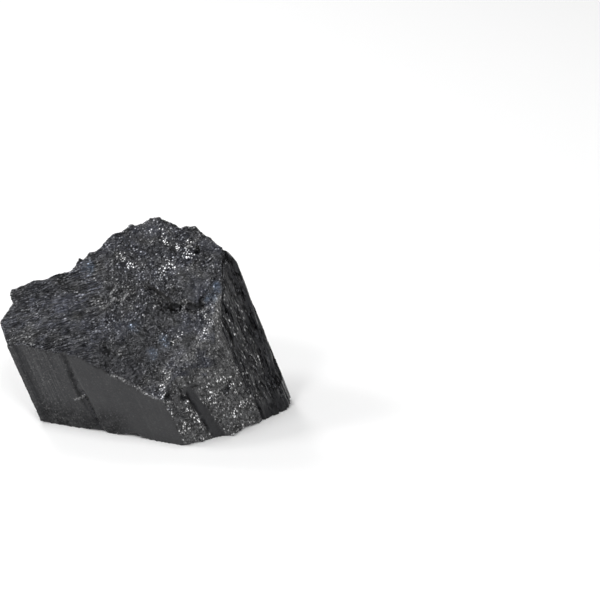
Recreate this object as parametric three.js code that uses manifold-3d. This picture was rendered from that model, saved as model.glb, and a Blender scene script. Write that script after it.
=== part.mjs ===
// Raw black tourmaline (schorl): one broken length of a thick crystal, resting on its flat base.
// Its sides are the crystal's long growth faces, fluted along an axis that leans to the left. Its
// ends and its front right side are fractures, with ledges, lumps and pits. The whole crystal is
// made first, and then each fracture is cut away from it.
// Millimetres, +Z up. While it is made, the frame's origin is near the front corner of the base.
import * as THREE from "three";
import Module from "manifold-3d";
import { ConvexGeometry } from "three/addons/geometries/ConvexGeometry.js";
import { ImprovedNoise } from "three/addons/math/ImprovedNoise.js";
import { mergeVertices } from "three/addons/utils/BufferGeometryUtils.js";

const wasm = await Module();
wasm.setup();

// ---------------------------------------------------------------- driving dimensions

const axisLean = 0.36; // the crystal's axis goes this far to the left for each millimetre up
const crystalHeight = 60; // before the top is broken off
const crystalFoot = -6; // it starts below the base, which is cut off flat

// Corners of the crystal where it meets the base, counterclockwise seen from above.
const corner = {
  left: [-35.25, 11.9],
  front: [0.6, -1.1],
  frontRight: [10.5, 2.6],
  rightEdge: [19.5, 12.7],
  rightToe: [21.7, 13.5],
  rightHeel: [25.5, 17.2],
  right: [26.4, 24.6],
  backRight: [21.5, 35],
  back: [4, 42],
  backLeft: [-19, 41],
  farLeft: [-33, 34],
  leftRear: [-36.9, 20.6],
};

// The sloping top, before it is roughened: its height over the front corner, and its rise for
// each millimetre to the right and to the back.
const topSlope = { height: 14.2, perX: 0.1, perY: 1.15 };

// The crest of the stone seen from above, from left to right. The top slope ends at it.
const crest = [
  [-46, 18.9],
  [-41.5, 19.6],
  [-35.4, 20.3],
  [-27.2, 22],
  [-25.4, 23.5],
  [-19.8, 25.3],
  [-18.2, 26.8],
  [-12.3, 28.2],
  [-6.5, 28.9],
  [-3.5, 28.3],
  [-0.3, 27.2],
  [1.8, 27.7],
  [3.0, 27.6],
  [4.2, 26.4],
  [6.4, 25.2],
  [8.2, 23.7],
  [11, 22.2],
  [20, 17],
];
const fallBehindCrest = 0.5; // slope just behind the crest
const steeperBehind = 0.03; // and how much steeper it gets for each millimetre

// The lower edge of a raised shell of stone on the top slope, seen from above.
const lip = [
  [-11, 18.6],
  [-8, 17.3],
  [-4.3, 15.6],
  [-1.8, 13.7],
  [1.1, 14.2],
  [3.5, 13.1],
  [5.9, 14.5],
  [8.4, 17.4],
];
const lipHeight = 2.0;
const apronWidth = 2.6; // the broken floor in front of the lip
const lipOverhang = 0.3; // the lip's wall leans out this far for each millimetre up

// ---------------------------------------------------------------- small helpers

const perlin = new ImprovedNoise();

function noise(p, size) {
  return perlin.noise(p.x / size + 31.7, p.y / size + 12.3, p.z / size + 7.9);
}

// The same run of numbers from 0 to 1 each time, for one seed.
function dice(seed) {
  let state = seed * 7919 + 17;
  return () => {
    state = (state * 1103515245 + 12345) % 2147483648;
    return state / 2147483648;
  };
}

function fade(from, to, value) {
  return THREE.MathUtils.smoothstep(value, from, to);
}

// A bell over a place on the plan: 1 at its middle, almost 0 at 1.5 times its radius.
function bell(p, x, y, radius) {
  return Math.exp(-(((p.x - x) ** 2 + (p.y - y) ** 2) / radius ** 2) * 2);
}

// The height of a line of points over x.
function lineAt(points, x) {
  const next = points.findIndex((point) => point[0] > x);
  if (next === 0) return points[0][1];
  if (next < 0) return points.at(-1)[1];
  const [x0, y0] = points[next - 1];
  const [x1, y1] = points[next];
  return y0 + ((x - x0) / (x1 - x0)) * (y1 - y0);
}

function solidFrom(geometry) {
  const bare = geometry.clone();
  bare.deleteAttribute("normal");
  bare.deleteAttribute("uv");
  const merged = mergeVertices(bare, 1e-4);
  return new wasm.Manifold(
    new wasm.Mesh({
      numProp: 3,
      vertProperties: merged.attributes.position.array,
      triVerts: new Uint32Array(merged.index.array),
    }),
  );
}

function geometryFrom(solid) {
  const mesh = solid.getMesh();
  const position = new Float32Array(mesh.numVert * 3);
  for (let i = 0; i < mesh.numVert; i++) {
    const start = i * mesh.numProp;
    position.set(mesh.vertProperties.subarray(start, start + 3), i * 3);
  }
  const geometry = new THREE.BufferGeometry();
  geometry.setAttribute("position", new THREE.BufferAttribute(position, 3));
  geometry.setIndex(new THREE.BufferAttribute(mesh.triVerts, 1));
  return geometry;
}

// ---------------------------------------------------------------- the crystal's long faces

// Marks are [distance along the side, how far the face lies inside the straight line].
function sideOutline(from, to, marks) {
  const start = new THREE.Vector2(...from);
  const along = new THREE.Vector2(...to).sub(start);
  const length = along.length();
  along.divideScalar(length);
  const inward = new THREE.Vector2(-along.y, along.x);
  const points = [start];
  for (const [distance, inset] of marks) {
    points.push(start.clone().addScaledVector(along, distance).addScaledVector(inward, inset));
  }
  return points;
}

// Flat strips side by side, each a little in or out of the next, with steep steps between them.
function flutes(from, to, spacing, depth, seed) {
  const roll = dice(seed);
  const length = Math.hypot(to[0] - from[0], to[1] - from[1]);
  const stepWidth = 0.12 * spacing;
  const marks = [];
  let inset = 0;
  for (let at = spacing * 0.6; at < length - spacing * 0.7; at += spacing * (0.5 + roll())) {
    marks.push([at, inset]);
    inset = depth * roll();
    marks.push([at + stepWidth, inset]);
  }
  return marks;
}

// The front left face: narrow flutes at its left, and then a smooth face with faint steps.
const frontLeftMarks = [
  [1.4, 0.0],
  [1.6, 0.35],
  [3.2, 0.2],
  [3.4, 0.42],
  [5.4, 0.25],
  [5.6, 0.4],
  [7.6, 0.22],
  [8.0, 0.34],
  [10.4, 0.2],
  [10.7, 0.3],
  [16.8, 0.12],
  [22.5, 0.16],
  [22.8, 0.26],
  [30.5, 0.2],
  [30.8, 0.08],
];

function crystal() {
  const c = corner;
  const fluted = (from, to, spacing, depth, seed) =>
    sideOutline(from, to, flutes(from, to, spacing, depth, seed));
  const outline = [
    ...sideOutline(c.left, c.front, frontLeftMarks),
    ...sideOutline(c.front, c.frontRight, []),
    ...sideOutline(c.frontRight, c.rightEdge, []),
    ...sideOutline(c.rightEdge, c.rightToe, []),
    ...sideOutline(c.rightToe, c.rightHeel, []),
    ...sideOutline(c.rightHeel, c.right, []),
    ...fluted(c.right, c.backRight, 1.6, 0.8, 5),
    ...fluted(c.backRight, c.back, 1.8, 0.7, 8),
    ...fluted(c.back, c.backLeft, 2.2, 0.6, 13),
    ...fluted(c.backLeft, c.farLeft, 1.7, 0.8, 21),
    ...fluted(c.farLeft, c.leftRear, 1.5, 0.5, 34),
    ...fluted(c.leftRear, c.left, 1.6, 0.4, 55),
  ];
  const block = new THREE.ExtrudeGeometry(new THREE.Shape(outline), {
    depth: crystalHeight - crystalFoot,
    bevelEnabled: false,
  });
  block.translate(0, 0, crystalFoot);
  // Each layer slides left with its height.
  block.applyMatrix4(new THREE.Matrix4().makeShear(0, 0, 0, 0, -axisLean, 0));
  return solidFrom(block);
}

// The outward normal of the long face between two corners.
function faceNormal(from, to) {
  const along = new THREE.Vector3(to[0] - from[0], to[1] - from[1], 0);
  return along.cross(new THREE.Vector3(-axisLean, 0, 1)).normalize();
}

// ---------------------------------------------------------------- fractures

// A block to cut away. It lies outside the plane through a point with an outward normal, and its
// inner face is a grid of broken stone. Relief says how far that face stands out of the plane at
// a point, which is also given as its place on the grid.
function brokenOff({ point, normal, along, width, height, cell, relief, seed }) {
  const roll = dice(seed);
  const out = new THREE.Vector3(...normal).normalize();
  const across = new THREE.Vector3(...along);
  across.addScaledVector(out, -across.dot(out)).normalize();
  const up = new THREE.Vector3().crossVectors(out, across);
  const [cellAcross, cellUp] = cell;
  const columns = Math.round(width / cellAcross);
  const rows = Math.round(height / cellUp);
  const thickness = 60;
  const jitter = 0.55;
  const middle = new THREE.Vector3(...point);
  const positions = [];
  const index = [];
  for (let j = 0; j <= rows; j++) {
    for (let i = 0; i <= columns; i++) {
      const u = -width / 2 + (i + (roll() - 0.5) * jitter) * cellAcross;
      const v = -height / 2 + (j + (roll() - 0.5) * jitter) * cellUp;
      const p = middle.clone().addScaledVector(across, u).addScaledVector(up, v);
      p.addScaledVector(out, relief(p, u, v));
      positions.push(...p.toArray());
    }
  }
  const at = (i, j) => j * (columns + 1) + i;
  for (let j = 0; j < rows; j++) {
    for (let i = 0; i < columns; i++) {
      const quad = [at(i, j), at(i + 1, j), at(i + 1, j + 1), at(i, j + 1)];
      const [a, b, c, d] = roll() < 0.5 ? quad : [quad[1], quad[2], quad[3], quad[0]];
      index.push(a, c, b, a, d, c);
    }
  }
  const rim = [];
  for (let i = 0; i < columns; i++) rim.push(at(i, 0));
  for (let j = 0; j < rows; j++) rim.push(at(columns, j));
  for (let i = columns; i > 0; i--) rim.push(at(i, rows));
  for (let j = rows; j > 0; j--) rim.push(at(0, j));
  const lid = positions.length / 3;
  for (const id of rim) {
    const p = new THREE.Vector3().fromArray(positions, id * 3);
    positions.push(...p.addScaledVector(out, thickness).toArray());
  }
  const lidMiddle = positions.length / 3;
  positions.push(...middle.clone().addScaledVector(out, thickness).toArray());
  for (let k = 0; k < rim.length; k++) {
    const next = (k + 1) % rim.length;
    index.push(rim[k], rim[next], lid + next, rim[k], lid + next, lid + k);
    index.push(lid + k, lid + next, lidMiddle);
  }
  const geometry = new THREE.BufferGeometry();
  geometry.setAttribute("position", new THREE.Float32BufferAttribute(positions, 3));
  geometry.setIndex(index);
  return solidFrom(geometry);
}

// Lumps of three sizes, as a broken face of grainy stone has them.
function lumps(p, coarse, fine) {
  return coarse * noise(p, 9) + fine * noise(p, 3.6) + 0.6 * fine * noise(p, 1.9);
}

// ---------------------------------------------------------------- the top

function slopeHeight(x, y) {
  return topSlope.height + topSlope.perX * x + topSlope.perY * y;
}

// Long ledges that rise a little to the right, on the left half of the slope.
function ledges(p) {
  const spacing = 2.3;
  const row = (p.y - 0.14 * p.x + 1.6 * noise({ x: p.x * 0.3, y: p.y, z: 0 }, 7)) / spacing;
  const rise = row - Math.floor(row);
  const here = 1 - fade(-18, -4, p.x);
  return 0.75 * here * (fade(0.6, 0.95, rise) - rise);
}

// The raised shell of stone: it sinks into the slope behind the lip and at both ends.
function raisedShell(p) {
  const behindLip = p.y - lineAt(lip, p.x);
  const here = fade(-12, -7, p.x) * (1 - fade(6.5, 9.5, p.x));
  return lipHeight * here * fade(-2.2, -0.8, behindLip) * (1 - fade(1, 10, behindLip));
}

// What has broken away in front of the shell, and leaves the lip's ragged wall.
function apron() {
  // It is widest in the middle, and runs out at both ends.
  const width = (i) => apronWidth * Math.sin((Math.PI * (i + 0.3)) / lip.length);
  const front = lip.map(([x, y], i) => [x + 0.2, y - width(i)]).reverse();
  const block = new THREE.ExtrudeGeometry(
    new THREE.Shape([...lip, ...front].map(([x, y]) => new THREE.Vector2(x, y))),
    { depth: 8, bevelEnabled: false },
  );
  block.applyMatrix4(new THREE.Matrix4().makeShear(0, 0, 0, 0, 0, -lipOverhang));
  block.translate(0, 0, topSlope.height - 0.3);
  block.applyMatrix4(new THREE.Matrix4().makeShear(0, topSlope.perX, 0, topSlope.perY, 0, 0));
  return solidFrom(block);
}

// Places where the slope is higher or lower than its plane: middle, radius, height.
const swells = [
  { x: -24.5, y: 4.5, radius: 9, height: 2.3 },
  { x: -44, y: 11.5, radius: 8, height: -3.6 },
  { x: -7.5, y: -0.5, radius: 6, height: -1.7 },
  { x: -22.5, y: 23.5, radius: 4.5, height: 0.7 },
  { x: -13.5, y: 26.5, radius: 5.5, height: 0.8 },
  { x: -6.5, y: 11.3, radius: 3.2, height: -0.7 },
  { x: -16, y: 12.5, radius: 5, height: -0.8 },
  { x: -31, y: 14.5, radius: 5, height: 0.6 },
  { x: -16, y: 19.5, radius: 3.5, height: -0.8 },
];

// The groove that parts the two blocks at the left end of the slope.
function leftGroove(p) {
  const fromGroove = (p.y - 16.2 - 0.08 * (p.x + 42)) / 1.1;
  return -1.0 * (1 - fade(-40, -27, p.x)) * Math.exp(-(fromGroove ** 2));
}

// Behind the crest the small steps of its line die out.
function backHeight(p, crestY) {
  const behind = p.y - crestY;
  const evenCrestY = (lineAt(crest, p.x - 7) + crestY + lineAt(crest, p.x + 7)) / 3;
  const steps = 1 - fade(0, 6, behind);
  const from = THREE.MathUtils.lerp(evenCrestY, crestY, steps);
  const fall = fallBehindCrest * behind + steeperBehind * behind ** 2;
  const scoops = -2.4 * bell(p, 7, 36, 11) + 1.5 * bell(p, -8, 36, 9) - 1.5 * bell(p, -27, 31, 10);
  return slopeHeight(p.x, from) - fall + scoops + lumps(p, 1.6, 1.0) * fade(0, 4, behind);
}

function topHeight(point) {
  const p = new THREE.Vector3(point.x, point.y, 0);
  const crestY = lineAt(crest, p.x);
  if (p.y > crestY + 0.4) return backHeight(p, crestY);
  let height = slopeHeight(p.x, Math.min(p.y, crestY));
  height += lumps(p, 0.9, 0.7) + ledges(p) + raisedShell(p) + leftGroove(p);
  for (const swell of swells) {
    height += swell.height * bell(p, swell.x, swell.y, swell.radius);
  }
  return height;
}

function topFracture() {
  return brokenOff({
    point: [-10, 20, 0],
    normal: [0, 0, 1],
    along: [1, 0, 0],
    width: 84,
    height: 56,
    cell: [1.25, 0.95],
    relief: topHeight,
    seed: 2,
  });
}

// The left end of the slope: it is broken steeply, with a notch between the two blocks.
const leftEnd = { x: -42.75, notchHeight: 28.4, shoulderFrom: 20.5, shoulderTo: 28 };

function leftEndRelief(p) {
  const shoulder = 2.2 * (1 - fade(leftEnd.shoulderFrom, leftEnd.shoulderTo, p.z));
  const below = 0.6 * Math.max(0, leftEnd.shoulderFrom - p.z);
  const notch = -2.0 * Math.exp(-(((p.z - leftEnd.notchHeight) / 1.1) ** 2));
  const upperBlock = -0.6 * fade(27, 29, p.z);
  return shoulder + below + notch + upperBlock + 0.5 * noise(p, 3);
}

function leftEndFracture() {
  return brokenOff({
    point: [leftEnd.x, 22, 28],
    normal: [-1, 0.12, 0],
    along: [0, -1, 0],
    width: 44,
    height: 50,
    cell: [1.6, 1.1],
    relief: leftEndRelief,
    seed: 11,
  });
}

// ---------------------------------------------------------------- the front right side

// Coarse grains, 1 to 3 mm across.
function grains(p) {
  return 0.5 * noise(p, 5) + 0.4 * noise(p, 2.3) + 0.15 * noise(p, 1.3);
}

// The front right fracture near the front corner: its outward normal.
const frontRightNormal = [0.42, -0.87, 0.205];

// A smooth sunken band runs down it, more to the right the lower it is.
const band = { middleAtBase: 8.9, leftPerHeight: 0.52, halfWidth: 2.0, depth: 1.3, top: 14.5 };

function frontRightRelief(p) {
  const fromMiddle = Math.abs(p.x - (band.middleAtBase - band.leftPerHeight * p.z));
  const edge = band.halfWidth + 0.5 * noise(p, 4);
  const inBand = (1 - fade(edge - 0.2, edge + 0.4, fromMiddle)) * (1 - fade(band.top - 2, band.top, p.z));
  return THREE.MathUtils.lerp(grains(p) - 0.35, -band.depth, inBand);
}

function frontRightFracture() {
  return brokenOff({
    point: [2.9, -0.5, 0],
    normal: frontRightNormal,
    along: [0.9, 0.43, 0],
    width: 60,
    height: 70,
    cell: [1.15, 1.25],
    relief: frontRightRelief,
    seed: 17,
  });
}

function rightFrontFracture() {
  const c = corner;
  return brokenOff({
    point: [...c.frontRight, 0],
    normal: faceNormal(c.frontRight, c.rightEdge).toArray(),
    along: [c.rightEdge[0] - c.frontRight[0], c.rightEdge[1] - c.frontRight[1], 0],
    width: 60,
    height: 90,
    cell: [1.2, 1.35],
    relief: (p) => grains(p) - 0.15,
    seed: 23,
  });
}

// The bruised edge where the top slope meets the front right side.
function bruisedEdge() {
  return brokenOff({
    point: [3.8, 6.6, 20.5],
    normal: [0.45, -0.81, 0.37],
    along: [0.9, 0.4, 0],
    width: 60,
    height: 50,
    cell: [1.2, 1.2],
    relief: (p) => 0.3 + 0.9 * grains(p),
    seed: 29,
  });
}

// ---------------------------------------------------------------- the right side

// Deep ribs along the crystal's axis. They end above a smooth foot at the base.
const foot = { low: 3.5, high: 7.5, standsOut: 4 };
const ribs = [
  // Each rib's place across the face and its height. The grooves are between them.
  { at: 0.0, width: 1.6, height: 0.2 },
  { at: 3.0, width: 1.0, height: 0.4 },
  { at: 5.2, width: 0.9, height: 0.0 },
  { at: 7.4, width: 1.1, height: 0.6 },
  { at: 9.8, width: 1.0, height: 0.1 },
  { at: 12.2, width: 1.2, height: 0.5 },
];
const grooveDepth = -1.1;

function ribRelief(p, u) {
  const wander = 0.3 * noise({ x: u, y: 0, z: p.z * 0.25 }, 3);
  let out = grooveDepth;
  for (const rib of ribs) {
    const share = Math.abs(u + wander - rib.at) / rib.width;
    out = Math.max(out, THREE.MathUtils.lerp(rib.height, grooveDepth, fade(0.7, 1.15, share)));
  }
  const footHere = 1 - fade(foot.low, foot.high, p.z);
  return out + 0.22 * noise(p, 1.8) + foot.standsOut * footHere;
}

function rightFracture() {
  const c = corner;
  const along = [c.right[0] - c.rightEdge[0], c.right[1] - c.rightEdge[1], 0];
  return brokenOff({
    point: [...c.rightEdge, 0],
    normal: faceNormal(c.rightEdge, c.right).toArray(),
    along,
    width: 50,
    height: 100,
    cell: [0.8, 2.2],
    relief: ribRelief,
    seed: 31,
  });
}

// ---------------------------------------------------------------- the base

// The base is flat to rest on. Chips round its edge lift it a little: middle, radius, rise.
const baseChips = [
  { x: -12, y: 2.6, radius: 4.5, rise: 1.0 },
  { x: -36, y: 15, radius: 4, rise: 1.1 },
  { x: -23, y: 6.5, radius: 3.5, rise: 0.5 },
  { x: 4.6, y: -0.5, radius: 2.4, rise: 0.5 },
  { x: 15.4, y: 8.2, radius: 3, rise: 0.8 },
  { x: 26.5, y: 25, radius: 4, rise: 1.6 },
  { x: 22, y: 35.5, radius: 5, rise: 2.2 },
  { x: 6, y: 43, radius: 5.5, rise: 1.8 },
  { x: -12, y: 42.5, radius: 4.5, rise: 1.5 },
  { x: -27, y: 39, radius: 6, rise: 2.6 },
  { x: -37, y: 26, radius: 4.5, rise: 1.4 },
];

function underside() {
  const rise = (p) => {
    let highest = 0;
    for (const chip of baseChips) {
      const share = Math.hypot(p.x - chip.x, p.y - chip.y) / chip.radius + 0.5 * noise(p, 3);
      highest = Math.max(highest, chip.rise * (1 - share));
    }
    return -highest;
  };
  return brokenOff({
    point: [-6, 20, 0],
    normal: [0, 0, -1],
    along: [1, 0, 0],
    width: 84,
    height: 60,
    cell: [1.6, 1.6],
    relief: rise,
    seed: 37,
  });
}

// ---------------------------------------------------------------- clefts and cracks

// A V-shaped cut along a line on a face.
function cleft({ from, to, outward, width, depth }) {
  const start = new THREE.Vector3(...from);
  const end = new THREE.Vector3(...to);
  const out = new THREE.Vector3(...outward).normalize();
  const side = end.clone().sub(start).cross(out).setLength(width / 2);
  const points = [];
  for (const p of [start, end]) {
    points.push(p.clone().add(side).addScaledVector(out, depth));
    points.push(p.clone().sub(side).addScaledVector(out, depth));
    points.push(p.clone().addScaledVector(out, -depth));
  }
  return solidFrom(new ConvexGeometry(points));
}

const onLeft = faceNormal(corner.left, corner.front).toArray();
const onRight = frontRightNormal;
const clefts = [
  { from: [-29.2, 6.9, 23], to: [-23.6, 6.3, 9.7], outward: onLeft, width: 1.6, depth: 1.1 },
  { from: [-24.2, 6.4, 11.2], to: [-18.9, 6.3, -1], outward: onLeft, width: 2.0, depth: 1.3 },
  { from: [-26.4, 7.6, 8.3], to: [-23.2, 6.2, 10.2], outward: onLeft, width: 1.0, depth: 0.5 },
  { from: [-3.4, -0.6, 13], to: [-2.2, -0.8, 9.4], outward: onRight, width: 2.6, depth: 1.2 },
  { from: [-1.0, 1.3, 15.6], to: [2.0, 1.2, 9.2], outward: onRight, width: 1.2, depth: 1.0 },
];

// ---------------------------------------------------------------- bites

// Small hollows in the top slope, with flat facets. Two of them undercut the lip.
const bites = [
  { x: -1.9, y: 13.9, radii: [1.6, 1.3, 1.3], turn: 0.3 },
  { x: 3.3, y: 13.4, radii: [2.1, 1.3, 1.4], turn: 1.1 },
  { x: 3.3, y: 23.2, radii: [0.8, 1.5, 1.3], turn: 0.2 },
];

function bite({ x, y, radii, turn }) {
  const hollow = new THREE.IcosahedronGeometry(1, 0);
  hollow.rotateX(turn);
  hollow.rotateY(turn);
  hollow.scale(...radii);
  hollow.translate(x, y, slopeHeight(x, y) - 0.2);
  return solidFrom(hollow);
}

// ---------------------------------------------------------------- the stone

function stone() {
  const cuts = [
    underside(),
    topFracture(),
    leftEndFracture(),
    frontRightFracture(),
    rightFrontFracture(),
    bruisedEdge(),
    rightFracture(),
    ...clefts.map(cleft),
    apron(),
    ...bites.map(bite),
  ];
  const broken = cuts.reduce((left, cut) => left.subtract(cut), crystal());
  // Splinters that the cuts leave loose fall away.
  const pieces = broken.decompose();
  return pieces.reduce((a, b) => (a.volume() > b.volume() ? a : b));
}

const geometry = geometryFrom(stone());
geometry.computeBoundingBox();
const middleOfBox = geometry.boundingBox.getCenter(new THREE.Vector3());
geometry.translate(-middleOfBox.x, -middleOfBox.y, 0);

const tourmaline = new THREE.Mesh(
  geometry,
  new THREE.MeshStandardMaterial({ color: 0x1c1c1f, roughness: 0.45, metalness: 0 }),
);
tourmaline.name = "tourmaline_crystal";

const group = new THREE.Group();
group.add(tourmaline);

export default group;
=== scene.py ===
# Raw black tourmaline: one broken piece of a thick schorl crystal, on a pale studio floor.
# Metres, +Z up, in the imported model's own frame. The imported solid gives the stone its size, its
# faces and its place, and here it gets its fine relief and its finish.
import math

import bpy
import numpy as np
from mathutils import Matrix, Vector


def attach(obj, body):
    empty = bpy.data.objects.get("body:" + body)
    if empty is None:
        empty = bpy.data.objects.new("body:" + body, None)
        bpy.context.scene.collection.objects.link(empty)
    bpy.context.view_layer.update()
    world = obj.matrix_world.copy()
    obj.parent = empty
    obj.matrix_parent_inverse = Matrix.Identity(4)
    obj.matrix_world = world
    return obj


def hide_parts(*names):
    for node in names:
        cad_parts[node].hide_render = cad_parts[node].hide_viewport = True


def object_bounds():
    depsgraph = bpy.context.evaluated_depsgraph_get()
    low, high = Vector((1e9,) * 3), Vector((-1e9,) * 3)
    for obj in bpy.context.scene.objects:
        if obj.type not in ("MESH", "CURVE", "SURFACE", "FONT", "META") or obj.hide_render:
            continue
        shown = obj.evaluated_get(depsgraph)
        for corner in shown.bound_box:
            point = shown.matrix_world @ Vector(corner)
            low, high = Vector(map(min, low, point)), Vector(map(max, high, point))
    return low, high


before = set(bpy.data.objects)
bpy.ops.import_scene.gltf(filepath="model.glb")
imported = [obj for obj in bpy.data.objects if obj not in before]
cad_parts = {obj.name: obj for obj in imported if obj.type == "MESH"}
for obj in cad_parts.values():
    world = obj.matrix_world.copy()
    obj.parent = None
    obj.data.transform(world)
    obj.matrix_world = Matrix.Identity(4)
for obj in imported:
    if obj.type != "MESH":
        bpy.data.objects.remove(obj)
cad_low, cad_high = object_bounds()

# ---------------------------------------------------------------- the camera
# A long lens on a tripod, looking down at the stone from the front. The stone stands in the left
# half of the picture.

camera_data = bpy.data.cameras.new("camera")
camera_data.sensor_width = 36
camera_data.lens = 110
camera_data.clip_end = 60
camera = bpy.data.objects.new("camera", camera_data)
camera.location = (0.0378, -0.4155, 0.1969)
camera.rotation_euler = (math.radians(68), 0, 0)
bpy.context.scene.collection.objects.link(camera)
bpy.context.scene.camera = camera

# ---------------------------------------------------------------- the floor
# A matt white sheet, far larger than the picture, so that its edges never show.

floor_size = 30.0
bpy.ops.object.select_all(action="DESELECT")
bpy.ops.mesh.primitive_plane_add(size=floor_size, location=(0, 0, 0))
floor = bpy.context.object
floor.name = "floor"

floor_finish = bpy.data.materials.new("white paper")
floor_finish.use_nodes = True
paper = floor_finish.node_tree.nodes["Principled BSDF"]
paper.inputs["Base Color"].default_value = (0.95, 0.95, 0.95, 1)
paper.inputs["Roughness"].default_value = 1.0
paper.inputs["Specular IOR Level"].default_value = 0.0
floor.data.materials.append(floor_finish)

# ---------------------------------------------------------------- the light
# Soft boxes round and over the stone, in a dim room that is darkest on the right. A broken facet
# is bright where it faces a box, and dark where it faces the room.

room_light = 0.37
dark_side_light = 0.04
dark_side = (0.92, 0.38, 0.05)
room = bpy.data.worlds.new("room")
room.use_nodes = True
walls = room.node_tree
towards = walls.nodes.new("ShaderNodeTexCoord")
facing_dark_side = walls.nodes.new("ShaderNodeVectorMath")
facing_dark_side.operation = "DOT_PRODUCT"
facing_dark_side.inputs[1].default_value = Vector(dark_side).normalized()
walls.links.new(towards.outputs["Generated"], facing_dark_side.inputs[0])
shade = walls.nodes.new("ShaderNodeMapRange")
shade.interpolation_type = "SMOOTHSTEP"
shade.inputs["From Min"].default_value = 0.25
shade.inputs["From Max"].default_value = 0.85
shade.inputs["To Min"].default_value = room_light
shade.inputs["To Max"].default_value = dark_side_light
walls.links.new(facing_dark_side.outputs["Value"], shade.inputs["Value"])
walls.nodes["Background"].inputs["Color"].default_value = (1, 1, 1, 1)
walls.links.new(shade.outputs["Result"], walls.nodes["Background"].inputs["Strength"])
bpy.context.scene.world = room

box_sides = (0.34, 0.26)
soft_boxes = [
    # Each box's name, the direction that it hangs in, its distance and its radiance.
    {"name": "box_over", "towards": (-0.35, 0.1, 1.0), "distance": 1.4, "radiance": 17},
    {"name": "box_left", "towards": (-1.0, 0.1, 0.9), "distance": 1.4, "radiance": 17},
    {"name": "box_back_left", "towards": (-0.6, 0.9, 1.0), "distance": 1.5, "radiance": 17},
    {"name": "box_front_left", "towards": (-0.6, -0.7, 0.95), "distance": 1.5, "radiance": 17},
    {"name": "box_front", "towards": (0.25, -0.9, 0.95), "distance": 1.5, "radiance": 17},
    {"name": "box_front_right", "towards": (0.8, -0.75, 0.35), "distance": 1.5, "radiance": 11},
]
for box in soft_boxes:
    light = bpy.data.lights.new(box["name"], "AREA")
    light.shape = "RECTANGLE"
    light.size, light.size_y = box_sides
    light.energy = box["radiance"] * math.pi * light.size * light.size_y
    lamp = bpy.data.objects.new(box["name"], light)
    lamp.location = Vector(box["towards"]).normalized() * box["distance"]
    lamp.rotation_euler = lamp.location.to_track_quat("Z", "Y").to_euler()
    bpy.context.scene.collection.objects.link(lamp)

bpy.context.scene.view_settings.view_transform = "Standard"

# ---------------------------------------------------------------- the stone
# One solid piece of schorl, the black iron tourmaline. It grew as a fluted column and was broken
# at the top, at the left end and at the front right. It rests on its own flat base.

MM = 0.001
skin_step = 0.365 * MM
sink_depth = 0.7 * MM
crease_angle = math.radians(32)

stone = bpy.data.objects.new("stone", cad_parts["tourmaline_crystal"].data.copy())
stone.data.materials.clear()
bpy.context.scene.collection.objects.link(stone)
bpy.ops.object.select_all(action="DESELECT")
bpy.context.view_layer.objects.active = stone
stone.select_set(True)
bpy.ops.object.mode_set(mode="EDIT")
bpy.ops.mesh.select_all(action="SELECT")
bpy.ops.mesh.remove_doubles(threshold=0.001 * MM)
bpy.ops.object.mode_set(mode="OBJECT")

# The new skin's step is about the finest that keeps the stone under 200,000 triangles.
skin = stone.modifiers.new("skin", "REMESH")
skin.mode = "VOXEL"
skin.voxel_size = skin_step
bpy.ops.object.modifier_apply(modifier=skin.name)


def vertex_values(kind):
    """One row for each vertex: its place in millimetres, or its normal."""
    values = np.empty(len(stone.data.vertices) * 3)
    stone.data.vertices.foreach_get(kind, values)
    values = values.reshape(-1, 3)
    return values / MM if kind == "co" else values


def ramp(low, high, value):
    """0 below low, 1 above high, and smooth between them."""
    share = np.clip((value - low) / (high - low), 0, 1)
    return share * share * (3 - 2 * share)


# The kinds of surface, each as a number from 0 to 1 for every vertex.
place = vertex_values("co")
facing = vertex_values("normal")
x, y, z = place.T
front = ramp(0, 0.15, -facing[:, 1])
under = ramp(0.6, 0.8, -facing[:, 2])

# The crystal's axis leans to the left by this much for each millimetre up.
lean = 0.36
axis = np.array([-lean, 0, 1]) / math.hypot(lean, 1)

# The front left side is a growth face, smooth and finely lined along the crystal's axis.
front_left = {"point": np.array([10.1, -21.5, 0]), "normal": np.array([-0.340, -0.932, -0.122])}
from_front_left = (place - front_left["point"]) @ front_left["normal"]
polished = ramp(-1.3, -0.7, from_front_left) * ramp(0.80, 0.92, facing @ front_left["normal"])

# So are the other growth faces, round the left and the back.
off_axis = np.abs(facing @ axis)
left_or_back = np.maximum(-facing[:, 0], facing[:, 1])
grown = (1 - ramp(0.15, 0.3, off_axis)) * ramp(0.15, 0.3, left_or_back - 0.2)
grown = np.clip(grown * (1 - polished), 0, 1)

# The right side is ribbed along the axis, above a smooth foot.
right = {
    "point": np.array([29.0, -7.75, 0]),
    "normal": np.array([0.824, -0.481, 0.297]),
    "level_run": (0.504, 0.863),
}
right_edge_x = 18.6
from_right = (place - right["point"]) @ right["normal"]
along_right = (x + lean * z - right["point"][0]) * right["level_run"][0]
along_right += (y - right["point"][1]) * right["level_run"][1]
on_right = ramp(-0.55, -0.2, along_right) * (1 - ramp(13.5, 15, along_right))
on_right *= ramp(-3.0, -2.0, from_right) * ramp(right_edge_x, right_edge_x + 0.35, x)
faces_right = ramp(0.1, 0.4, facing @ right["normal"])
foot = on_right * (1 - ramp(3.0, 6.5, z + 0.25 * along_right)) * faces_right
ribbed = on_right * faces_right * (1 - 0.7 * foot)
# Painted shade on the far right of the ribbed side, reaching further in low down.
far_right_shade = ramp(7.5, 10.5, along_right + 4 * (1 - ramp(5, 14, z))) * on_right

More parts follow.
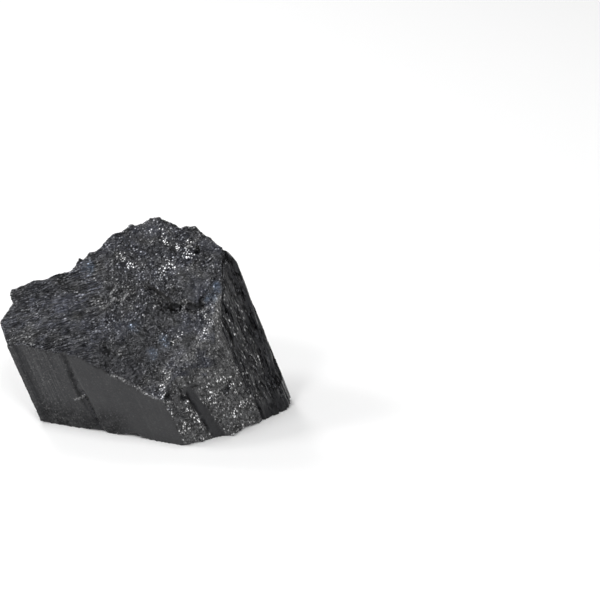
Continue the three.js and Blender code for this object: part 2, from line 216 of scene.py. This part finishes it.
# The smooth sunken band on the front right side leans further, and narrows towards its top.
band = {"foot_x": 18.6, "lean": 0.61, "half_width": 1.35, "top": 12.0}
from_band = np.abs(x - (band["foot_x"] - band["lean"] * z)) * (1 + 0.25 * ramp(8, 11, z))
sunken_band = 1 - ramp(band["half_width"], band["half_width"] + 0.3, from_band)
sunken_band *= (1 - ramp(band["top"], band["top"] + 2.5, z)) * ramp(0.2, 0.5, -facing[:, 1])
sunken_band *= ramp(-2, 0, -18 - y + 0.25 * x)

# The rest is broken: fibrous on the left of the top, and ridged on the front right side, which
# has a paler chamfer above it.
top = ramp(0.25, 0.45, facing[:, 2]) * ramp(6, 9, z)
fibrous = top * (1 - ramp(-15, -5, x))
to_front_right = facing @ np.array([0.42, -0.87, 0.2])
front_right = ramp(0.1, 0.4, to_front_right) * ramp(3, 7, x)
front_right *= (1 - polished) * (1 - ribbed) * (1 - top)
chamfer = ramp(0.3, 0.5, to_front_right) * ramp(6, 8, x) * ramp(13, 15.5, z)
chamfer *= (1 - on_right) * (1 - polished) * (1 - ramp(29, 32, z))
smooth = np.clip(polished + sunken_band + foot + 0.8 * grown * (1 - on_right), 0, 1)
broken = (1 - smooth) * (1 - ribbed) * (1 - under)

# Lines on the front, as seen straight from the front: x and z in millimetres.
cleft_line = [(-19.5, 20.5), (-18.6, 19.5), (-16.5, 12.1), (-14.1, 6.8), (-10.2, 0.2)]
crack_lines = [
    # On the top.
    [(0.6, 33.1), (2.0, 33.1), (3.3, 32.4), (4.2, 31.7), (5.2, 31.1), (6.1, 30.4)],
    [(4.7, 30.9), (4.5, 29.9), (3.8, 28.5)],
    [(14.7, 32.3), (15.1, 33.4), (15.6, 34.4), (16.3, 34.8), (17.7, 36.3), (18.0, 37.8), (18.6, 39.4)],
    [(13.1, 40.7), (13.0, 39.1)],
    # On the front right side, and along the left border of its sunken band.
    [(8.3, 15.9), (8.9, 14.3), (9.6, 12.4)],
    [(7.5, 10.4), (8.9, 8.2), (11.0, 6.0)],
    [(10.8, 12.1), (12.3, 9.3), (13.8, 6.3)],
    [(14.3, 5.3), (15.2, 3.5), (15.9, 1.8)],
    # On the right side.
    [(24.7, 18.3), (25.7, 13.9)],
]
powder_line = [
    # Along the bruised edge, from the front corner up to the right.
    (4.8, 12.2), (5.1, 16.1), (6.5, 18.5), (8.4, 20.3), (11.8, 20.4), (13.6, 23.1), (15.5, 25.0),
    (16.6, 27.3), (17.6, 29.0), (18.0, 31.0),
]
pale_and_highlight_paths = [
    # On the top: pale lines, two of them painted highlights along the rims below the scoops.
    [(-8.1, 31.6), (-7.0, 30.7), (-5.3, 30.6), (-3.9, 32.2)],
    [(-7.2, 32.9), (-8.1, 31.6)],
    [(-10.3, 29.0), (-8.4, 30.0), (-7.7, 30.6)],
    [(10.8, 31.0), (10.0, 29.9), (9.1, 28.9), (7.9, 28.7)],
    [(10.6, 29.2), (12.4, 28.7), (13.9, 29.0), (15.6, 29.9), (17.1, 30.4)],
    [(10.2, 41.5), (11.2, 42.3), (12.9, 43.3)],
    # A painted highlight along the top's lower edge, and a pale line across the cleft.
    [(-7.1, 16.5), (-4.9, 15.8), (-3.0, 15.1), (-0.1, 13.5), (1.6, 12.8), (3.8, 12.1)],
    [(-16.9, 8.1), (-15.6, 8.7), (-14.2, 9.7)],
]

# Round spots on the front, seen in the same way: x, z and the radius in millimetres.
scoop_spots = [
    (7.8, 29.8, 1.6), (11.2, 29.9, 1.4), (12.3, 29.8, 1.5), (13.5, 30.6, 1.4), (14.3, 31.6, 1.2),
]
pit_spots = [(6.6, 12.9, 1.4), (6.7, 11.9, 1.2)]
dust_spots = [(10.9, 10.3, 3.2), (-10.9, 1.0, 2.4), (-11.8, 3.5, 1.8)]
calm_spots = [
    (11.3, 34.4, 3.4), (10.0, 36.4, 2.2), (5.0, 27.9, 3.0), (2.4, 27.6, 2.2), (7.2, 27.5, 2.5),
    (10.2, 22.7, 2.0), (13.1, 22.0, 1.7), (12.8, 11.7, 1.5), (20.1, 37.2, 1.6), (20.5, 34.8, 1.5),
    (-4.8, 17.5, 2.8), (-1.4, 16.9, 2.8), (1.9, 19.5, 2.6), (-1.5, 22.3, 3.5), (1.8, 21.9, 3.0),
    (5.0, 21.1, 2.5), (-8.1, 19.8, 2.8), (-11.5, 20.0, 2.8), (-14.8, 20.5, 2.5),
]
dim_spots = [
    # Dimmer at the left end, and painted shade along the foot of the top slope.
    (-29.4, 32.1, 3.5), (-25.9, 32.7, 3.5), (-22.7, 33.3, 3.2), (-19.8, 33.3, 3.0), (-30.0, 29.4, 3.0),
    (-3.2, 17.2, 4.0), (-1.5, 22.3, 4.5), (3.5, 20.3, 4.0), (-9.8, 20.0, 4.0), (-14.8, 20.5, 3.0),
    (-8.7, 30.4, 2.5), (-0.4, 25.1, 3.0), (5.0, 28.1, 2.5), (14.8, 40.8, 1.5), (-22.0, 21.4, 3.2),
    (-18.4, 21.6, 3.2), (-14.9, 22.0, 3.0), (-12.0, 27.4, 2.6), (-6.4, 29.6, 2.2),
    # Beside the bruised edge.
    (11.9, 22.8, 2.2), (14.5, 21.5, 2.2), (11.9, 17.3, 2.4), (11.9, 13.8, 1.8), (9.0, 18.8, 2.2),
    (18.0, 19.2, 2.4), (14.9, 28.6, 2.0), (5.6, 22.6, 2.0),
]
bright_spots = [
    # Along the top, and at the top of the right side.
    (20.7, 38.9, 2.5), (21.4, 36.5, 2.5), (21.9, 34.0, 2.0), (17.6, 41.2, 2.5), (14.6, 41.8, 2.5),
    (5.5, 44.6, 2.5), (1.8, 44.4, 2.5), (-2.0, 43.6, 2.5), (14.2, 35.0, 2.8), (17.2, 33.2, 2.0),
    (8.5, 36.7, 2.5), (11.6, 36.8, 2.5), (12.0, 33.6, 2.8), (11.0, 28.6, 1.8), (18.2, 37.5, 2.5),
    (-19.6, 30.3, 3.0), (-15.4, 27.6, 3.5), (-5.1, 25.1, 2.5), (18.3, 39.2, 2.5), (11.8, 28.2, 1.5),
    # Near the bruised edge, and on the front right side.
    (22.4, 19.8, 2.0), (2.0, 14.5, 2.0), (5.4, 17.5, 1.5), (12.0, 10.0, 1.2), (15.2, 28.4, 2.0),
    (15.8, 10.3, 2.5),
]
glint_spots = [
    # Clusters of painted glints on the top.
    (1.3, 44.6, 0.8), (3.8, 45.1, 0.8), (5.3, 44.4, 0.8), (10.7, 42.5, 1.0), (11.9, 41.7, 1.0),
    (10.2, 41.1, 0.8), (7.8, 41.4, 0.8), (19.8, 38.6, 0.6), (4.8, 43.2, 1.1), (10.0, 39.9, 1.2),
    (11.7, 39.9, 1.1), (5.3, 37.6, 1.2), (7.0, 37.9, 1.0), (8.2, 36.5, 0.7), (10.6, 37.7, 0.6),
    (4.3, 37.1, 1.3), (-5.6, 39.4, 1.4), (5.6, 38.7, 0.9), (5.3, 42.6, 0.9), (4.3, 44.0, 0.9),
    (-3.4, 37.6, 1.3), (-12.1, 34.8, 0.5), (-9.6, 33.9, 0.5), (-8.0, 34.7, 0.5), (-16.3, 32.2, 0.4),
    (-0.3, 28.0, 0.5), (2.6, 29.9, 0.5), (7.3, 23.0, 0.8), (9.0, 24.8, 1.2),
    # On the bruised edge and on the front right side.
    (16.4, 27.2, 1.2), (15.2, 25.5, 1.2), (13.6, 23.3, 0.6), (15.0, 23.6, 0.6), (5.2, 14.2, 1.2),
    (5.0, 12.6, 0.9), (15.9, 13.1, 0.8), (15.4, 9.4, 1.5), (18.9, 13.3, 1.3), (23.4, 10.4, 0.5),
    (19.4, 7.9, 0.5), (23.9, 6.1, 1.4), (21.8, 4.7, 1.2), (12.5, 6.8, 1.2), (10.3, 5.2, 1.0),
    (5.5, 17.6, 0.7), (15.2, 28.4, 0.7), (8.9, 5.5, 0.6), (7.7, 8.3, 1.0), (11.9, 10.2, 1.0),
    (20.6, 13.1, 0.9), (21.3, 11.3, 0.9), (22.4, 9.4, 0.8), (11.0, 10.0, 0.8), (12.3, 8.2, 0.8),
    (10.5, 12.0, 0.7), (11.7, 6.9, 0.9), (13.0, 5.2, 0.8), (17.1, 9.2, 1.0), (15.9, 11.0, 1.8),
    (11.0, 8.5, 0.8),
]
blue_spots = [
    (17.0, 33.0, 2.8), (16.2, 31.5, 1.8), (17.6, 34.6, 1.4), (5.2, 22.9, 2.2), (2.4, 20.7, 2.0),
    (-1.9, 26.0, 2.2), (-13.9, 36.8, 2.4),
]
tip_place = (12.6, 6.9, 46.0)

# Grooves down the right side: their places along it, and one more at its left edge, higher up.
groove_places = (0.1, 3.3, 6.1, 8.8, 10.6)
edge_groove_x = 19.2
groove_width = 0.3


def from_line(points):
    """Each vertex's distance from a line through the points, seen from the front."""
    points = np.array(points)
    seen = place[:, [0, 2]]
    nearest = np.full(len(seen), np.inf)
    for start, end in zip(points[:-1], points[1:]):
        run = end - start
        share = np.clip((seen - start) @ run / (run @ run), 0, 1)
        nearest = np.minimum(nearest, np.linalg.norm(seen - start - share[:, None] * run, axis=1))
    return nearest


def near_lines(lines, core, edge):
    """1 on a line and out to the core distance, fading to 0 at the edge distance."""
    return np.max([1 - ramp(core, edge, from_line(line)) for line in lines], axis=0)


def near_spots(spots):
    """1 at the middle of a spot, fading to 0 at its radius."""
    nearest = np.zeros(len(place))
    for spot_x, spot_z, radius in spots:
        away = np.hypot(place[:, 0] - spot_x, place[:, 2] - spot_z)
        nearest = np.maximum(nearest, 1 - ramp(0.45 * radius, radius, away))
    return nearest * front


def groove(distance):
    """1 in the middle of a groove, fading evenly on both sides."""
    return np.exp(-((distance / groove_width) ** 2))


cracked = near_lines(crack_lines, 0.1, 0.38) * front
cleft = near_lines([cleft_line], 0.1, 0.45) * front
powder = near_lines([powder_line], 0.4, 2.0) * front * (1 - on_right)
powder *= 0.65 + 0.35 * ramp(21, 25, z)
near_pale_and_highlight_paths = near_lines(pale_and_highlight_paths, 0.05, 0.42) * front
scooped = near_spots(scoop_spots)
pit = near_spots(pit_spots)
dusted = near_spots(dust_spots)
calm = near_spots(calm_spots)
dim = near_spots(dim_spots) * (1 - polished)
bright = near_spots(bright_spots)
tip = 1 - ramp(0.8, 2.2, np.linalg.norm(place - tip_place, axis=1))
grooves = np.max([groove(along_right - at) for at in groove_places], axis=0)
grooves = np.maximum(grooves, groove(x - edge_groove_x) * ramp(25, 27, z)) * on_right

# The growth face is darker and duller in patches low on its left and beside the cleft, and streaked
# towards the left end.
dulled = (1 - ramp(2.5, 9.0, z)) * (1 - ramp(-8, -1, x))
dulled = np.maximum(dulled, near_lines([cleft_line], 0.4, 1.2) * ramp(5, 9, z)) * polished
streaked = polished * (1 - ramp(-24, -15, x))
dull_streak = (1 - ramp(0.4, 1.3, np.abs(x + 0.3 * z + 24.4))) * polished


def named_group(name, weights):
    """A vertex group of the stone, in steps of 1/20."""
    group = stone.vertex_groups.new(name=name)
    steps = np.rint(weights * 20).astype(int)
    for step in range(1, 21):
        group.add(np.flatnonzero(steps == step).tolist(), step / 20, "REPLACE")


named_group("broken", broken * (1 - 0.7 * calm) * (1 - tip))
named_group("fibrous", fibrous * (1 - under))
named_group("granular", np.clip(broken - fibrous, 0, 1) * (1 - 0.9 * calm) * (1 - tip))
named_group("ribbed", ribbed)
named_group("lined", np.clip(0.25 * polished + 0.75 * streaked + grown, 0, 1))
named_group("furrowed", streaked)
named_group("worn through", dulled)
named_group("ridged", front_right * (1 - sunken_band) * (1 - 0.8 * calm))
named_group("filled", np.maximum(dusted, 0.5 * tip))
named_group("sunken", np.clip(0.4 * cracked + scooped + pit + 0.5 * grooves, 0, 1))


def direction_frame(name, along, across_mm, along_mm):
    """An empty in which the pattern's unit is across_mm wide and along_mm long."""
    empty = bpy.data.objects.new(name, None)
    bpy.context.scene.collection.objects.link(empty)
    empty.rotation_mode = "QUATERNION"
    empty.rotation_quaternion = Vector(along).to_track_quat("Z", "Y")
    empty.scale = (across_mm * MM, across_mm * MM, along_mm * MM)
    return empty


def raise_relief(name, kind, empty, height_mm, group, **settings):
    """Pushes the surface in and out by a pattern, as far as the vertex group says."""
    pattern = bpy.data.textures.new(name, kind)
    for key, value in settings.items():
        setattr(pattern, key, value)
    push = stone.modifiers.new(name, "DISPLACE")
    push.texture = pattern
    push.texture_coords = "OBJECT"
    push.texture_coords_object = empty
    push.strength = height_mm * MM
    push.mid_level = 0.5
    push.vertex_group = group
    bpy.ops.object.modifier_apply(modifier=push.name)
    bpy.data.textures.remove(pattern)


# Dust fills the ends of the clefts, and a thin tip at the top is worn round.
fill = stone.modifiers.new("fill", "SMOOTH")
fill.factor = 0.5
fill.iterations = 40
fill.vertex_group = "filled"
bpy.ops.object.modifier_apply(modifier=fill.name)

# The directions in which the stone's patterns run.
axis_run = (-lean, 0, 1)
fibre_run = (1, 0.15, 0.27)
grain_run = (1, 0.42, 0.58)
even = direction_frame("even", (0, 0, 1), 1, 1)
fibre = direction_frame("fibre", fibre_run, 0.9, 7)
flute = direction_frame("flute", axis_run, 0.8, 40)
ridge = direction_frame("ridge", axis_run, 0.8, 4)
bpy.context.view_layer.update()

raise_relief("lumps", "CLOUDS", even, 0.7, "broken", noise_scale=3.0, noise_depth=1)
raise_relief("grains", "VORONOI", even, -0.55, "granular", noise_scale=1.5, noise_intensity=1.0)
raise_relief("fine grains", "VORONOI", even, -0.3, "granular", noise_scale=0.9, noise_intensity=1.0)
raise_relief("fibres", "CLOUDS", fibre, 0.75, "fibrous", noise_scale=1.0, noise_depth=2)
raise_relief("ridges", "CLOUDS", ridge, 0.9, "ridged", noise_scale=1.0, noise_depth=1)
raise_relief("furrows", "CLOUDS", flute, 0.4, "furrowed", noise_scale=1.4, noise_depth=1)
raise_relief("pits", "CLOUDS", even, 0.45, "worn through", noise_scale=0.9, noise_depth=1)
raise_relief("flutes", "CLOUDS", flute, 0.22, "lined", noise_scale=1.0, noise_depth=2)
raise_relief("ribs", "CLOUDS", flute, 0.5, "ribbed", noise_scale=1.0, noise_depth=2)

# The scoops and pits sink by the whole depth, and the cracks and grooves by about half of it.
sink = stone.modifiers.new("sink", "DISPLACE")
sink.strength = -sink_depth
sink.mid_level = 0
sink.vertex_group = "sunken"
bpy.ops.object.modifier_apply(modifier=sink.name)
for empty in (even, fibre, flute, ridge):
    bpy.data.objects.remove(empty)
stone.vertex_groups.clear()

# The base stays flat to rest on.
for vertex in stone.data.vertices:
    vertex.co.z = max(vertex.co.z, cad_low.z)
bpy.ops.object.shade_smooth_by_angle(angle=crease_angle)

# Marks that the finish reads, each as a number from 0 to 1 on every point of the surface.
# Painted shade darkens the cleft, cracks, pits, scoops and grooves, the smooth foot of the right side
# and the far right of the ribbed side. The sunken band and a dull streak on the growth face are made
# darker too.
dark_and_shade = 0.8 * cleft + 0.7 * cracked + pit + 0.75 * scooped + 0.8 * grooves
dark_and_shade += 0.9 * foot + 0.5 * sunken_band + 0.9 * far_right_shade + 0.6 * dull_streak
mark_values = {
    "smooth": smooth,
    "fibrous": fibrous,
    "ribbed": ribbed,
    "shaded": 0.3 * np.clip(along_right / 12, 0, 1) * on_right + 0.7 * far_right_shade,
    "dulled": dulled,
    "streaked": streaked,
    "front_right": front_right,
    "chamfer": np.clip(chamfer + bright, 0, 1),
    "dim": dim,
    "calm": np.clip(calm + scooped, 0, 1),
    "powder": powder,
    "pale_lines_and_highlights": near_pale_and_highlight_paths,
    "glint_cluster": near_spots(glint_spots),
    "blue": near_spots(blue_spots),
    "dark_and_shade": np.clip(dark_and_shade, 0, 1),
}
for name, values in mark_values.items():
    stone.data.attributes.new(name, "FLOAT", "POINT").data.foreach_set("value", values)

# Its finish: an even satin black where it grew, and dark with small bright facets where it broke,
# with painted glints in its colour.
finish = bpy.data.materials.new("black tourmaline")
finish.use_nodes = True
tree = finish.node_tree
surface = tree.nodes["Principled BSDF"]


def add(kind, inputs, **settings):
    """A shader node. Its inputs are numbers, colours or the outputs of other nodes."""
    made = tree.nodes.new("ShaderNode" + kind)
    for name, value in settings.items():
        setattr(made, name, value)
    for key, value in inputs.items():
        if isinstance(value, bpy.types.NodeSocket):
            tree.links.new(value, made.inputs[key])
        else:
            made.inputs[key].default_value = value
    return made


def calc(operation, *values):
    return add("Math", dict(enumerate(values)), operation=operation).outputs[0]


def product(first, *others):
    """All the values, multiplied together."""
    for value in others:
        first = calc("MULTIPLY", first, value)
    return first


def plus(value, other, amount):
    """The value, and the other one times an amount."""
    return calc("ADD", value, calc("MULTIPLY", other, amount))


def less(value, mark, amount):
    """The value, lowered by a mark: by that amount of itself where the mark is 1."""
    return calc("MULTIPLY", value, calc("SUBTRACT", 1.0, calc("MULTIPLY", mark, amount)))


def vector_calc(operation, *values):
    return add("VectorMath", dict(enumerate(values)), operation=operation).outputs[0]


def scaled(vector, amount):
    return add("VectorMath", {0: vector, "Scale": amount}, operation="SCALE").outputs[0]


def between(low, high, value):
    """0 below low and 1 above high."""
    inputs = {"Value": value, "From Min": low, "From Max": high}
    return add("MapRange", inputs, clamp=True).outputs["Result"]


# A Mix node has a pair of inputs for numbers, one for vectors and one for colours.
def mixed(factor, first, second):
    """A number that goes from the first to the second."""
    return add("Mix", {0: factor, 2: first, 3: second}, data_type="FLOAT").outputs[0]


def mixed_vector(factor, first, second):
    """A vector that goes from the first to the second."""
    return add("Mix", {0: factor, 4: first, 5: second}, data_type="VECTOR").outputs[1]


def tinted(factor, first, second):
    """A colour that goes from the first to the second."""
    return add("Mix", {0: factor, 6: first, 7: second}, data_type="RGBA").outputs[2]


object_place = add("TexCoord", {}).outputs["Object"]
marks = {name: add("Attribute", {}, attribute_name=name).outputs["Fac"] for name in mark_values}


def in_frame(along, long_mm, wide_mm):
    """The place, counted in grains that are long_mm along a direction and wide_mm across it."""
    turn = Vector(along).to_track_quat("X", "Z").to_euler()
    sizes = (long_mm * MM, wide_mm * MM, wide_mm * MM)
    inputs = {"Vector": object_place, "Rotation": turn, "Scale": sizes}
    return add("Mapping", inputs, vector_type="TEXTURE").outputs["Vector"]


def noise_at(vector, scale, detail, distortion=0.0):
    """Soft random patches, each about 1 / scale across."""
    inputs = {"Vector": vector, "Scale": scale, "Detail": detail, "Distortion": distortion}
    return add("TexNoise", inputs).outputs["Fac"]


millimetres = in_frame((1, 0, 0), 1, 1)
broken_share = calc("SUBTRACT", 1.0, marks["smooth"])
patchy = noise_at(millimetres, 1 / 2.6, 3.0)
clouded = noise_at(millimetres, 1 / 7.0, 2.0)
speckle = noise_at(millimetres, 1 / 0.45, 2.0)

# A random offset, by which the grains stray from their rows.
half = (0.5, 0.5, 0.5)
waver = add("TexNoise", {"Vector": millimetres, "Scale": 1 / 1.1, "Detail": 2.0}).outputs["Color"]
waver = vector_calc("SUBTRACT", waver, half)

# The three kinds of break meet along ragged borders.
ragged = calc("SUBTRACT", patchy, 0.5)
is_fibrous = between(0.35, 0.65, calc("ADD", marks["fibrous"], ragged))
is_ribbed = between(0.4, 0.6, plus(marks["ribbed"], ragged, 0.4))


def by_break(granular, along_fibres, along_ribs):
    """The first on most of the break, the second where it is fibrous and the third on the ribs."""
    return mixed_vector(is_ribbed, mixed_vector(is_fibrous, granular, along_fibres), along_ribs)


def grain_cells(vector, wandering):
    """One cell for each grain, strayed from its row by the wandering."""
    vector = vector_calc("ADD", vector, scaled(waver, wandering))
    return add("TexVoronoi", {"Vector": vector, "Scale": 1.0}).outputs


def grains_along(run, long_mm, wide_mm, wandering):
    """Three random numbers for each grain of a broken face, as a colour."""
    return grain_cells(in_frame(run, long_mm, wide_mm), wandering)["Color"]


# The grains: flat facets, each turned its own way. They are short on most of the break, and long
# on its left and on the ribbed side. Finer ones lie on them.
grain = by_break(
    grains_along(grain_run, 0.75, 0.50, 0.9),
    grains_along(fibre_run, 4.5, 0.34, 0.7),
    grains_along(axis_run, 14.0, 0.36, 0.2),
)
fine = by_break(
    grains_along(grain_run, 0.38, 0.32, 0.5),
    grains_along(fibre_run, 1.6, 0.26, 0.5),
    grains_along(axis_run, 3.0, 0.28, 0.3),
)

# Some of the break is smooth plates, with few grains.
plates = between(0.53, 0.59, noise_at(millimetres, 1 / 3.0, 1.0, 0.6))
plates = less(plates, calc("MAXIMUM", marks["glint_cluster"], marks["ribbed"]), 1.0)
plates = calc("MAXIMUM", plates, marks["calm"])
is_dulled = product(between(0.2, 0.55, patchy), marks["dulled"])
rough = less(broken_share, plates, 0.6)
rough = calc("MAXIMUM", rough, product(is_dulled, 0.5))
rough = less(rough, marks["dark_and_shade"], 0.6)
steepness = product(rough, plus(0.75, calc("ADD", marks["front_right"], is_fibrous), 0.3))
tilt = vector_calc(
    "ADD",
    scaled(vector_calc("SUBTRACT", grain, half), steepness),
    scaled(vector_calc("SUBTRACT", fine, half), rough),
)
normal = add("NewGeometry", {}).outputs["Normal"]
facet = vector_calc("NORMALIZE", vector_calc("ADD", normal, tilt))
lines = noise_at(in_frame(axis_run, 26, 0.42), 1.0, 3.0)
for height, strength, distance_mm in ((speckle, 0.5, 0.15), (lines, 0.35, 0.1)):
    inputs = {"Height": height, "Strength": strength, "Distance": distance_mm * MM, "Normal": facet}
    facet = add("Bump", inputs).outputs["Normal"]
tree.links.new(facet, surface.inputs["Normal"])

# Small bright dots, each in a cell of its own: pale grains, and painted glints on grains that catch
# the light. They crowd together where it glitters.
dot_place = mixed_vector(is_fibrous, in_frame(grain_run, 0.54, 0.46), in_frame(fibre_run, 0.80, 0.36))
is_front_right = between(0.4, 0.6, marks["front_right"])
dot_place = mixed_vector(is_front_right, dot_place, in_frame(axis_run, 0.68, 0.42))
dot_place = mixed_vector(is_ribbed, dot_place, in_frame(axis_run, 0.9, 0.36))
dot_cells = grain_cells(dot_place, mixed(is_ribbed, 0.5, 0.25))
luck = add("SeparateColor", {"Color": dot_cells["Color"]}).outputs["Red"]
dot_edge = calc("SUBTRACT", dot_cells["Distance"], product(luck, 0.16))
dots = calc("SUBTRACT", 1.0, between(0.14, 0.36, dot_edge))
in_glint_cluster = between(0.30, 0.60, calc("ADD", marks["glint_cluster"], ragged))
dots = product(dots, calc("POWER", luck, mixed(in_glint_cluster, 3.5, 1.1)))

# How crowded the pale grains are, and how pale each fine one is.
dice = add("SeparateColor", {"Color": grain}).outputs
fine_dice = add("SeparateColor", {"Color": fine}).outputs
density = calc("ADD", between(0.3, 0.75, patchy), between(0.35, 0.65, clouded))
density = plus(less(density, plates, 0.7), marks["front_right"], 0.6)
grit = calc("POWER", fine_dice["Red"], 3.0)
loose = calc("ADD", grit, dots)

# The ribbed side has pale and dark stripes, and painted shade darkens it to the right.
stripes = between(0.38, 0.60, noise_at(in_frame(axis_run, 60, 0.9), 1.0, 3.0))
stripes = less(stripes, marks["shaded"], 0.85)
threads = between(0.48, 0.72, noise_at(in_frame(axis_run, 16, 0.28), 1.0, 2.0))

# How pale the broken stone is, as a number: black, with grains of it bruised to grey and painted
# glints on grains that catch the light. The fibrous part has pale fibres and soft folds, and the front
# right side and the chamfer are made paler.
bare = less(broken_share, plates, 0.55)
bare = less(bare, marks["dim"], 0.55)
bare = less(bare, marks["calm"], 0.3)
# Painted sparkle: bright dots in the colour, standing in for glints of light on the grains.
painted_sparkle = product(dots, plus(0.18, density, 0.32), bare)
painted_sparkle = product(painted_sparkle, mixed(is_ribbed, 1.0, product(stripes, 2.4)))
painted_sparkle = product(painted_sparkle, mixed(is_fibrous, 1.0, 0.85))
pale = product(grit, plus(0.018, density, 0.042), bare)
pale = product(pale, mixed(is_ribbed, 1.0, product(stripes, 1.3)))
pale = product(pale, mixed(is_fibrous, 1.0, 0.7))
folds = plus(0.55, between(0.36, 0.64, noise_at(in_frame(fibre_run, 9.0, 1.1), 1.0, 1.0, 0.3)), 0.9)
fibres = between(0.53, 0.65, noise_at(in_frame(fibre_run, 5.0, 0.22), 1.0, 2.0, 0.4))
pale = plus(pale, product(is_fibrous, fibres), 0.078)
pale = product(pale, mixed(is_fibrous, 1.0, folds))
pale = less(pale, marks["dim"], 0.65)
pale = plus(pale, product(is_ribbed, stripes, threads), 0.075)
# The front right side and the chamfer above it are made paler.
paled_front = plus(product(marks["chamfer"], 0.016), marks["front_right"], 0.036)
paled_front = less(paled_front, marks["dim"], 0.5)
pale = calc("ADD", pale, product(paled_front, calc("ADD", 0.6, fine_dice["Red"])))
pale = calc("ADD", product(pale, broken_share), 0.003)
pale = plus(pale, painted_sparkle, 0.4)

# How pale the growth faces are: even, with fine lines and flecks, streaks towards the left end,
# darker patches with pits low on the left and beside the cleft, a painted highlight along the top's
# lower edge, and a scratch across the cleft.
growth_pale = plus(0.018, between(0.3, 0.75, lines), 0.004)
growth_pale = plus(growth_pale, between(0.35, 0.65, clouded), 0.007)
streaks = between(0.42, 0.58, noise_at(in_frame(axis_run, 18, 0.6), 1.0, 3.0, 0.4))
streaks = plus(product(streaks, 0.65), threads, 1.5)
growth_pale = product(growth_pale, mixed(marks["streaked"], 1.0, streaks))
growth_pale = less(growth_pale, is_dulled, 0.9)
pitted = plus(product(dots, 0.05), grit, 0.025)
growth_pale = calc("ADD", growth_pale, product(is_dulled, pitted))
flecks = plus(product(dots, 0.018), grit, 0.009)
growth_pale = calc("ADD", growth_pale, product(flecks, plus(1.0, marks["streaked"], 2.4)))
# A painted highlight along the top's lower edge, and the scratch across the cleft.
growth_pale = calc("ADD", growth_pale, product(marks["pale_lines_and_highlights"], plus(0.02, loose, 0.3)))
pale = calc("ADD", pale, product(marks["smooth"], growth_pale))

# On top of that comes white: painted glints on the glittering grains, the powder on the bruised edge,
# and the pale lines, some of them painted highlights.
dusty = product(marks["powder"], between(0.38, 0.62, noise_at(millimetres, 1 / 1.3, 3.0)))
white = product(in_glint_cluster, dots, 0.95)
white = plus(white, painted_sparkle, 0.6)
white = calc("ADD", white, product(dusty, plus(0.03, loose, 0.40)))
# The pale lines on the top, some of them painted highlights along edges and rims.
white = calc("ADD", white, product(marks["pale_lines_and_highlights"], plus(0.02, loose, 0.34)))
white = less(white, marks["smooth"], 0.9)

# Its colour is a cool black in some places and a neutral one in others, with a few bluish stains.
cool = (0.92, 0.97, 1.22, 1)
neutral = (1.0, 1.0, 1.0, 1)
bluish = (0.75, 0.95, 1.3, 1)
warmth = calc("ADD", calc("ADD", marks["front_right"], marks["smooth"]), is_ribbed)
warmth = plus(noise_at(millimetres, 1 / 5.5, 2.0), warmth, 0.3)
tint = tinted(between(0.42, 0.62, warmth), cool, neutral)
stained = product(marks["blue"], between(0.35, 0.6, patchy))
tint = tinted(stained, tint, bluish)
pale = calc("ADD", pale, product(stained, plus(0.03, dots, 0.40)))
# Painted shade and the dark marks take the paleness away.
not_dark = calc("SUBTRACT", 1.0, marks["dark_and_shade"])
grey_light = scaled(tint, product(pale, not_dark))
white_light = scaled((1, 1, 1), product(white, not_dark))
tree.links.new(vector_calc("ADD", grey_light, white_light), surface.inputs["Base Color"])

# Each facet is glossy in its own degree, and the growth faces are evenly satin.
grown_roughness = plus(0.36, is_dulled, 0.4)
roughness = mixed(marks["smooth"], mixed(dice["Green"], 0.14, 0.42), grown_roughness)
roughness = plus(roughness, dusty, 0.3)
tree.links.new(roughness, surface.inputs["Roughness"])
surface.inputs["IOR"].default_value = 1.40
surface.inputs["Specular Tint"].default_value = (0.98, 0.99, 1.06, 1)

stone.data.materials.append(finish)
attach(stone, "root")
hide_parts("tourmaline_crystal")
